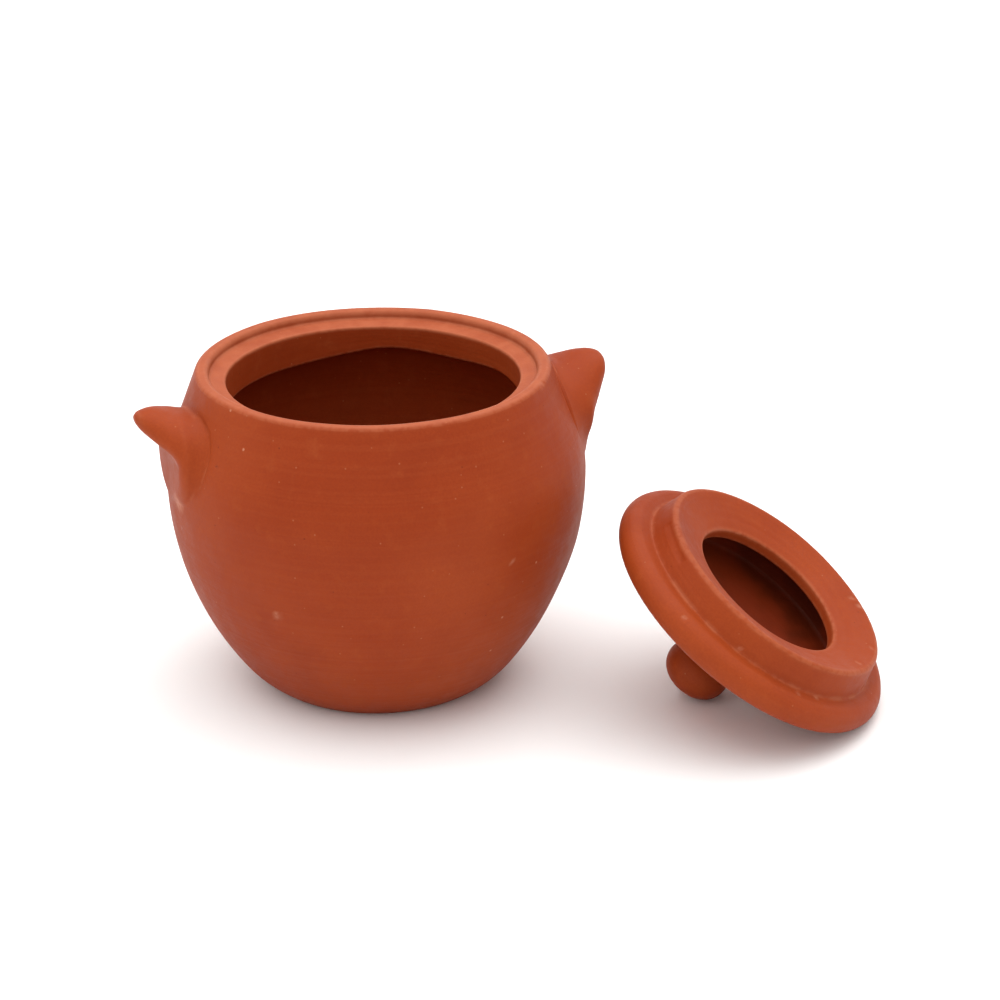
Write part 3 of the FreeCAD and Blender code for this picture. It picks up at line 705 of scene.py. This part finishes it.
def join_ear(verts, faces, outside, side, ear):
    """Cuts the turned skin away where an ear's own skin lies, and joins the two by one strip."""
    share, turn = patch_place(verts, side)
    covered = (share < OVAL_CUT) & outside & (verts[:, 0] * side > EAR_EYE[0] + 5)
    lost = covered[four_corners(faces)].any(1)
    edges = set()
    for face in (faces[k] for k in np.flatnonzero(lost)):
        edges.update(zip(face, face[1:] + face[:1]))
    border = sorted({a for a, b in edges if (b, a) not in edges}, key=lambda k: turn[k])
    kept = [faces[k] for k in np.flatnonzero(~lost)]
    more, skin = ear_patch(side, ear)
    base = len(verts)
    kept += [tuple(k + base for k in face) for face in skin]
    inner = [base + 1 + (EAR_RINGS - 1) * EAR_SPOKES + k for k in range(EAR_SPOKES)]
    inner_turn = np.arange(EAR_SPOKES) * 2 * math.pi / EAR_SPOKES
    strip = strip_between(border, turn[border], inner, inner_turn)
    kept += [face if side > 0 else face[::-1] for face in strip]
    return np.vstack([verts, more]), kept


def used_points(faces, count):
    """Which of a mesh's points its faces use, and the faces numbered for those points alone."""
    used = np.zeros(count, bool)
    used[np.unique(four_corners(faces))] = True
    order = np.cumsum(used) - 1
    return used, [tuple(int(order[k]) for k in face) for face in faces]


# ---- Pot ----

# Height of the collar's trimmed lower edge round the mouth, by azimuth in degrees
COLLAR_EDGE = (
    (0, 83.8), (15, 84.3), (30, 83.6), (42, 83.4), (51, 83.9), (66, 84.9),
    (72, 84.7), (89, 82.8), (106, 81.7), (119, 81.6), (132, 81.4), (150, 81.3),
    (180, 81.6), (210, 82.2), (240, 82.6), (270, 83.3), (300, 83.0), (330, 83.4),
)

# The belly's bulge at the front right: its height, azimuth, spread, and where it comes and goes
SWELL, SWELL_AZIMUTH, SWELL_SPREAD = 0.85, -17, 26
SWELL_START, SWELL_END, SWELL_INSIDE = (26, 46), (78, 90), BELLY_R - 14

# Marks: a place, a reach, and a depth or a strength
POT_NICKS = (((40.87, -29.45, 94.98), 1.6, 0.45), ((-20.0, 38.0, 95.0), 1.3, 0.35))
POT_PALE = (
    ((-39.99, -40.35, 39.8), 1.7, 0.5),
    ((24.22, -54.33, 53.17), 1.3, 0.45),
    ((-59.9, -8.2, 63.4), 4.2, 0.55),
    ((40.87, -29.45, 94.98), 1.2, 0.6),
)

# Painted shade: darker colour inside the pot from a length below the crest, and on the right ear's near
# flank
INNER_PAINTED_SHADE, INNER_START = 0.15, 22
FLANK_PAINTED_SHADE, FLANK_PLACE, FLANK_SPREAD = 0.42, (60.5, -9.0, 73.0), (6.0, 9.0, 8.0)

# The skin stays just inside the solids' box
POT_BOX = ((-69.59, -59.99, 0), (69.59, 59.99, RIM))


def collar_edge(theta):
    """Height of the collar's lower edge, its table run smooth over a few degrees."""
    azimuths, heights = zip(*COLLAR_EDGE)
    degrees = np.degrees(theta)[..., None] + np.linspace(-7, 7, 15)
    return np.interp(degrees % 360, azimuths, heights, period=360).mean(-1)


def hand_shape(verts):
    """The turned pot moved by the small departures that hand work leaves."""
    v = verts.copy()
    radius = axis_distance(v)
    theta = np.arctan2(v[:, 1], v[:, 0])

    # The collar's lower edge wanders
    z = v[:, 2]
    near_edge = (radius < MOUTH_R + 9) & (z > COLLAR_FOOT - 4) & (z < RIM - 5.5)
    pull = smooth_step(z, RIM - 6, COLLAR_FOOT + 1.5) * near_edge
    pull = pull * (1 - smooth_step(radius, MOUTH_R + 1.5, MOUTH_R + 8))
    v[:, 2] += pull * (collar_edge(theta) - COLLAR_FOOT)

    # The whole pot is a little out of round, and the belly bulges at the front right
    out_of_round = waves(theta, 3, (2, 3, 4, 5), 0.05) / np.maximum(radius, 1)
    scale = np.where(radius > 1, 1 + out_of_round, 1)
    v[:, :2] *= scale[:, None]
    swell = np.exp(-((np.degrees(theta) - SWELL_AZIMUTH) / SWELL_SPREAD) ** 2)
    swell *= radius > SWELL_INSIDE
    swell *= SWELL * smooth_step(v[:, 2], *SWELL_START) * (1 - smooth_step(v[:, 2], *SWELL_END))
    v[:, 0] += swell * np.cos(theta)
    v[:, 1] += swell * np.sin(theta)

    # The rim dips
    top = smooth_step(v[:, 2], RIM - 8, RIM - 1)
    v[:, 2] -= top * np.abs(waves(theta, 8, (2, 3, 5, 7), 0.07))
    v[:, 2] = np.clip(v[:, 2], 0, RIM)
    return v


def add_pot():
    """The pot's body and both ears as one closed skin."""
    profile = pot_profile()
    along = length_along(profile)
    crest = int(np.argmax(profile[:, 1]))
    verts, faces = turned_mesh(profile, POT_SPOKES)
    ring = turned_lengths(along, POT_SPOKES)
    # Painted shade inside the pot
    painted_shade = INNER_PAINTED_SHADE * (ring > along[crest] + INNER_START)
    for side, ear in ((1, EAR_RIGHT), (-1, EAR_LEFT)):
        outside = np.zeros(len(verts), bool)
        outside[:len(ring)] = ring < along[crest] - 1.5
        verts, faces = join_ear(verts, faces, outside, side, ear)
    more = verts[len(ring):]
    ring = np.concatenate([ring, np.interp(more[:, 2], profile[:crest, 1], along[:crest])])
    painted_shade = np.concatenate([painted_shade, np.zeros(len(more))])
    used, faces = used_points(faces, len(verts))
    verts, ring, painted_shade = verts[used], ring[used], painted_shade[used]

    # Painted shade on the right ear's near flank
    near_flank = np.linalg.norm((verts - FLANK_PLACE) / FLANK_SPREAD, axis=1)
    painted_shade = np.maximum(painted_shade, FLANK_PAINTED_SHADE * (1 - smooth_step(near_flank, 0.35, 1.1)))
    radius = axis_distance(verts)
    proud = radius - outer_radius(verts[:, 2])
    thrown = 1 - smooth_step(proud, 0.3, 1.2)
    # Paler on the ledge where the lid rubs it, and a painted highlight over the crest's top
    seat_and_highlight = smooth_step(verts[:, 2], RIM - 4.8, RIM - 3.2) * (proud < 0.3)
    seat_and_highlight *= 1 - smooth_step(radius, CREST_C[0] + 0.2, CREST_C[0] + 1.4)

    verts = press(hand_shape(verts), four_corners(faces), POT_NICKS)
    verts = np.clip(verts, *POT_BOX)
    pale = near_marks(verts, POT_PALE)
    shares = skin_shares(verts, faces, ring, thrown, painted_shade, pale, seat_and_highlight)
    by_right_ear = (verts[:, 0] > 40) * (verts[:, 2] < RIM - 5)
    shares["crease"] *= 1 - by_right_ear
    shares["wear"] *= 1 - by_right_ear * (axis_distance(verts) < 63)
    piece = make_object("pot_body", verts, faces, CLAY, shares)
    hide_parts("pot")
    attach(piece, "root")


# ---- Lid ----

# The lid from the flat face of its flange at height 0, the knob being below it: the flange, the plug
# with the hole in its dished ring, the hollow dome, and the knob on its neck
FLANGE_EDGE = 4.5
FLANGE_RING = GALLERY_R - 0.9 - FLANGE_EDGE
PLUG_FOOT, PLUG_DRAFT, PLUG_HEIGHT, PLUG_ROUND = MOUTH_R - 3.35, 2.4, 8.4, 1.4
HOLE_R, HOLE_HEIGHT, RING_THICKNESS = MOUTH_R - 18.6, 3.9, 3.2
RING_UNDER = HOLE_HEIGHT - RING_THICKNESS
DOME_R, LID_WALL, LID_HOLLOW_R = 95.0, 5.0, MOUTH_R - 9.0
DOME_Z = math.sqrt((DOME_R - FLANGE_EDGE) ** 2 - FLANGE_RING ** 2) - FLANGE_EDGE
KNOB_R, KNOB_HALF, KNOB_STAND, NECK_R, NECK_FILLET = 9.8, 6.6, 10.88, 6.0, 2.4
KNOB_C = np.array([KNOB_R - KNOB_HALF, DOME_Z - DOME_R - KNOB_STAND])

# Where the lid leans beside the pot: its bearing from the pot, the way it leans, and how far off
LID_ROUND, LID_BEARING = math.radians(-30.234), math.radians(-29.5)
LID_AWAY = BELLY_R + FLANGE_RING + 11.76

# A tool's groove on the plug's side and chips along the edges, where the lid lies: places, reach, depth
LID_GROOVE = (
    (70.34, -53.99, 57.99),
    (69.34, -60.71, 56.62),
    (68.88, -65.97, 54.62),
    (68.84, -69.29, 52.99),
)
GROOVE_REACH, GROOVE_DEPTH, GROOVE_STEPS = 1.2, 0.22, 6
LID_CHIPS = (
    ((130.12, -48.22, 24.38), 1.5, 0.30),
    ((131.42, -51.17, 22.91), 1.6, 0.35),
    ((126.99, -70.10, 18.63), 1.3, 0.25),
    ((118.33, -80.42, 19.93), 1.3, 0.25),
    ((93.53, -95.80, 21.29), 1.4, 0.22),
    ((99.99, -93.55, 17.99), 1.4, 0.22),
    ((119.77, -80.43, 11.85), 1.5, 0.25),
    ((64.19, -83.62, 43.24), 1.1, 0.18),
    ((78.35, -89.95, 34.62), 1.2, 0.18),
)
# How far and how strongly the chips are pale, and the painted shade in the lid's hollow
CHIP_PALE_REACH, CHIP_PALE, HOLLOW_PAINTED_SHADE = 0.8, 0.55, 0.85

# Throwing rings on the dished ring: their height, their turns per millimetre, and where they end
DISH_RING, DISH_TURNS, DISH_END = 0.05, 4.6, (33.5, 35)

LID_BOX = ((50, -99.74, 0), (135.44, 0, 62))


def lid_profile():
    """The lid from its knob's end, over the dome, flange, plug and ring, into the hollow."""
    fillet_r = NECK_R + NECK_FILLET
    ball_z = KNOB_C[1] + math.sqrt((KNOB_HALF + NECK_FILLET) ** 2 - (fillet_r - KNOB_C[0]) ** 2)
    dome_z = DOME_Z - math.sqrt((DOME_R + NECK_FILLET) ** 2 - fillet_r ** 2)
    ball_turn = math.atan2(ball_z - KNOB_C[1], fillet_r - KNOB_C[0])
    dome_turn = math.atan2(DOME_Z - dome_z, -fillet_r)
    edge_c = np.array([FLANGE_RING, -FLANGE_EDGE])
    edge_turn = math.atan2(edge_c[1] - DOME_Z, edge_c[0])
    points = run((0.0, KNOB_C[1] - KNOB_HALF), KNOB_C - (0, KNOB_HALF), 1.0)
    points += arc(KNOB_C, KNOB_HALF, -QUARTER, ball_turn, 0.6)
    points += arc((fillet_r, ball_z), NECK_FILLET, math.pi + ball_turn, math.pi, 0.5)
    points += run((NECK_R, ball_z), (NECK_R, dome_z), 0.5)
    points += arc((fillet_r, dome_z), NECK_FILLET, math.pi, dome_turn, 0.5)
    points += arc((0, DOME_Z), DOME_R, dome_turn - math.pi, edge_turn, 1.2)
    points += arc(edge_c, FLANGE_EDGE, edge_turn, QUARTER, 0.5)
    roof_r = DOME_R - LID_WALL
    roof_edge = DOME_Z - math.sqrt(roof_r ** 2 - LID_HOLLOW_R ** 2)
    points += rounded([
        (FLANGE_RING, 0, 0),
        (PLUG_FOOT, 0, 0.6),
        (PLUG_FOOT - PLUG_DRAFT, PLUG_HEIGHT, PLUG_ROUND),
        (HOLE_R, HOLE_HEIGHT, 0.8),
        (HOLE_R, RING_UNDER, 0.5),
        (LID_HOLLOW_R, RING_UNDER, 0.8),
        (LID_HOLLOW_R, roof_edge, 0),
    ])
    points += arc((0, DOME_Z), roof_r, -math.acos(LID_HOLLOW_R / roof_r), -QUARTER, 1.6)
    points += [np.array([0, DOME_Z - roof_r])]
    return np.array(points)


def hand_lid(v):
    """The small departures of the thrown lid, in its own frame."""
    radius, theta, z = axis_distance(v), np.arctan2(v[:, 1], v[:, 0]), v[:, 2]
    rise = smooth_step(z, 1.0, PLUG_HEIGHT)
    hole = 1 - smooth_step(np.abs(radius - HOLE_R), 1.5, 6.0)
    upper = (z > -0.5) & (radius < PLUG_FOOT + 2)
    grow = hole * waves(theta, 21, (2, 3, 4, 5, 7), 0.16) + rise * waves(theta, 5, (2, 3, 4), 0.10)
    rim = smooth_step(radius, FLANGE_RING - 3, FLANGE_RING + 3)
    grow = upper * grow - rim * np.abs(waves(theta, 11, (2, 3, 5), 0.05))
    lift = upper * rise * waves(theta, 31, (2, 3, 5, 6), 0.10)
    rings = np.sin(radius * DISH_TURNS + waves(theta, 12, (1, 2), 0.3))
    dish = upper * smooth_step(radius, HOLE_R + 2, HOLE_R + 4) * (1 - smooth_step(radius, *DISH_END))
    lift = lift + DISH_RING * dish * rings
    scale = 1 + grow / np.maximum(radius, 1)
    return np.stack([v[:, 0] * scale, v[:, 1] * scale, z + lift], -1)


def lay_down(v):
    """Leans the lid over until its knob and flange both touch the floor."""
    across, along = FLANGE_RING - KNOB_C[0], -KNOB_C[1] - FLANGE_EDGE
    sink = math.asin((KNOB_HALF - FLANGE_EDGE) / math.hypot(along, across))
    lean = math.atan(along / across) + sink
    axis = (-math.sin(LID_BEARING), math.cos(LID_BEARING), 0)
    turn = np.array(Matrix.Rotation(lean, 3, axis))
    height = FLANGE_EDGE * (1 + math.cos(lean)) + FLANGE_RING * math.sin(lean)
    return v @ turn.T + (LID_AWAY * math.cos(LID_ROUND), LID_AWAY * math.sin(LID_ROUND), height)


def add_lid():
    """The lid as one closed skin, leaning beside the pot."""
    profile = lid_profile()
    along = length_along(profile)
    verts, faces = turned_mesh(profile, LID_SPOKES)
    ring = turned_lengths(along, LID_SPOKES)
    inside = ring > along[int(np.argmax(profile[:, 1]))]
    # Painted shade in the lid's hollow, below its ring
    painted_shade = HOLLOW_PAINTED_SHADE * inside * smooth_step(RING_UNDER + 0.6 - verts[:, 2], 0, 0.8)
    verts = lay_down(hand_lid(verts))
    groove = []
    for start, end in zip(LID_GROOVE, LID_GROOVE[1:]):
        for k in range(GROOVE_STEPS):
            place = np.array(start) + (np.array(end) - start) * k / GROOVE_STEPS
            groove.append((place, GROOVE_REACH, GROOVE_DEPTH))
    verts = press(verts, four_corners(faces), groove + list(LID_CHIPS))
    verts = np.clip(verts, *LID_BOX)
    chipped = [(place, reach * CHIP_PALE_REACH, CHIP_PALE) for place, reach, _ in LID_CHIPS]
    pale = near_marks(verts, chipped)
    thrown, seat_and_highlight = np.ones(len(verts)), np.zeros(len(verts))
    shares = skin_shares(verts, faces, ring, thrown, painted_shade, pale, seat_and_highlight)
    piece = make_object("lid_body", verts, faces, CLAY, shares)
    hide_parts("lid")
    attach(piece, "root")


# ---- Floor, light and camera ----

# The camera looks from the left of the ears' line
VIEW_TURN = math.radians(-17.4)
PITCH, ROLL = 0.39788, -0.00553
EYE = (35.99, -804.298, 390.97)
LENS, SENSOR = 108.0, 36.0

# The floor's half width, its flat stretch, the bend of the backdrop and the backdrop's top, in metres
FLOOR_HALF, FLOOR_DEPTHS = 3.0, (-3.0, -1.0, 0.0, 1.0, 2.2)
BACKDROP_BEND, BACKDROP_STEPS, BACKDROP_TOP = 1.2, 24, 4.0
FLOOR_TINTS = ((0.895, 0.890, 0.880, 1), (0.915, 0.910, 0.900, 1))

# Square lights: name, place, target, side in metres and power in watts
LIGHTS = (
    ("top", (0.0, 0.15, 1.5), (0.02, 0, 0.05), 1.8, 11),
    ("left", (-1.25, 0.45, 0.80), (0, 0, 0.05), 1.2, 1.0),
    ("right", (0.95, 0.60, 1.45), (0, 0, 0.05), 1.0, 4),
)
SKY_LOW, SKY_HIGH = 0.50, 1.70


def add_floor(material):
    """A pale floor that curves up into a backdrop far behind, as one sheet."""
    rows = [(y, 0.0) for y in FLOOR_DEPTHS]
    bend_start = FLOOR_DEPTHS[-1]
    for k in range(1, BACKDROP_STEPS + 1):
        a = QUARTER * k / BACKDROP_STEPS
        rows.append((bend_start + BACKDROP_BEND * math.sin(a), BACKDROP_BEND * (1 - math.cos(a))))
    rows.append((bend_start + BACKDROP_BEND, BACKDROP_TOP))
    verts, faces = [], []
    for y, z in rows:
        verts += [(-FLOOR_HALF, y, z), (0.0, y, z), (FLOOR_HALF, y, z)]
    for a in range(0, 3 * (len(rows) - 1), 3):
        faces += [(a, a + 1, a + 4, a + 3), (a + 1, a + 2, a + 5, a + 4)]
    floor = make_object("floor", np.array(verts) / MM, faces, material)
    floor.rotation_euler = (0, 0, VIEW_TURN)


def floor_material():
    """Matt white card, a little uneven."""
    mat = bpy.data.materials.new("card")
    mat.use_nodes = True
    nodes, links = mat.node_tree.nodes, mat.node_tree.links
    shader = nodes["Principled BSDF"]
    place = nodes.new("ShaderNodeTexCoord").outputs["Object"]
    cloud = nodes.new("ShaderNodeTexNoise")
    cloud.inputs["Scale"].default_value = 14.0
    links.new(place, cloud.inputs["Vector"])
    tint = nodes.new("ShaderNodeMix")
    tint.data_type = "RGBA"
    tint.inputs[6].default_value, tint.inputs[7].default_value = FLOOR_TINTS
    links.new(cloud.outputs[0], tint.inputs[0])
    links.new(tint.outputs[2], shader.inputs["Base Color"])
    fibre = nodes.new("ShaderNodeTexNoise")
    fibre.inputs["Scale"].default_value = 900.0
    links.new(place, fibre.inputs["Vector"])
    bump = nodes.new("ShaderNodeBump")
    bump.inputs["Distance"].default_value = 0.03 * MM
    links.new(fibre.outputs[0], bump.inputs["Height"])
    links.new(bump.outputs["Normal"], shader.inputs["Normal"])
    shader.inputs["Roughness"].default_value = 0.9
    shader.inputs["Specular IOR Level"].default_value = 0.1
    return mat


def place_object(name, data, x, y, z, origin):
    """A scene object at an origin, with its own axes along three given ways."""
    thing = bpy.data.objects.new(name, data)
    bpy.context.scene.collection.objects.link(thing)
    thing.matrix_world = Matrix([*np.column_stack([x, y, z, origin]).tolist(), [0, 0, 0, 1]])
    return thing


def add_light(name, place, target, size, power):
    """A square light that faces its target."""
    data = bpy.data.lights.new(name, "AREA")
    data.shape = "SQUARE"
    data.size = size
    data.energy = power
    aim = np.array(target, float) - np.array(place, float)
    z = -aim / np.linalg.norm(aim)
    x = np.cross([0, 0, 1.0], z)
    x = x / np.linalg.norm(x)
    place_object(name, data, x, np.cross(z, x), z, place)


def add_world():
    """White light from all round, strongest overhead."""
    world = bpy.data.worlds.new("studio")
    world.use_nodes = True
    nodes, links = world.node_tree.nodes, world.node_tree.links
    glow = nodes["Background"]
    glow.inputs["Color"].default_value = (1, 1, 1, 1)
    split = nodes.new("ShaderNodeSeparateXYZ")
    links.new(nodes.new("ShaderNodeTexCoord").outputs["Generated"], split.inputs[0])
    climb = nodes.new("ShaderNodeMapRange")
    climb.inputs["To Min"].default_value = SKY_LOW
    climb.inputs["To Max"].default_value = SKY_HIGH
    links.new(split.outputs["Z"], climb.inputs["Value"])
    links.new(climb.outputs["Result"], glow.inputs["Strength"])
    bpy.context.scene.world = world


def add_camera():
    """Looks down by 22.8 degrees through a long lens."""
    ahead = np.array([0, math.cos(PITCH), -math.sin(PITCH)])
    down = np.array([0, -math.sin(PITCH), -math.cos(PITCH)])
    right = np.array([1.0, 0, 0])
    across = math.cos(ROLL) * right - math.sin(ROLL) * down
    below = math.sin(ROLL) * right + math.cos(ROLL) * down
    cos, sin = math.cos(VIEW_TURN), math.sin(VIEW_TURN)
    spin = np.array([[cos, -sin, 0], [sin, cos, 0], [0, 0, 1]])
    data = bpy.data.cameras.new("camera")
    data.sensor_fit = "HORIZONTAL"
    data.sensor_width = SENSOR
    data.lens = LENS
    data.clip_start, data.clip_end = 0.05, 50
    x, y, z, eye = spin @ across, spin @ -below, spin @ -ahead, spin @ (np.array(EYE) * MM)
    bpy.context.scene.camera = place_object("camera", data, x, y, z, eye)


add_pot()
add_lid()
add_floor(floor_material())
for light in LIGHTS:
    add_light(*light)
add_world()
bpy.context.scene.view_settings.view_transform = "Standard"
add_camera()
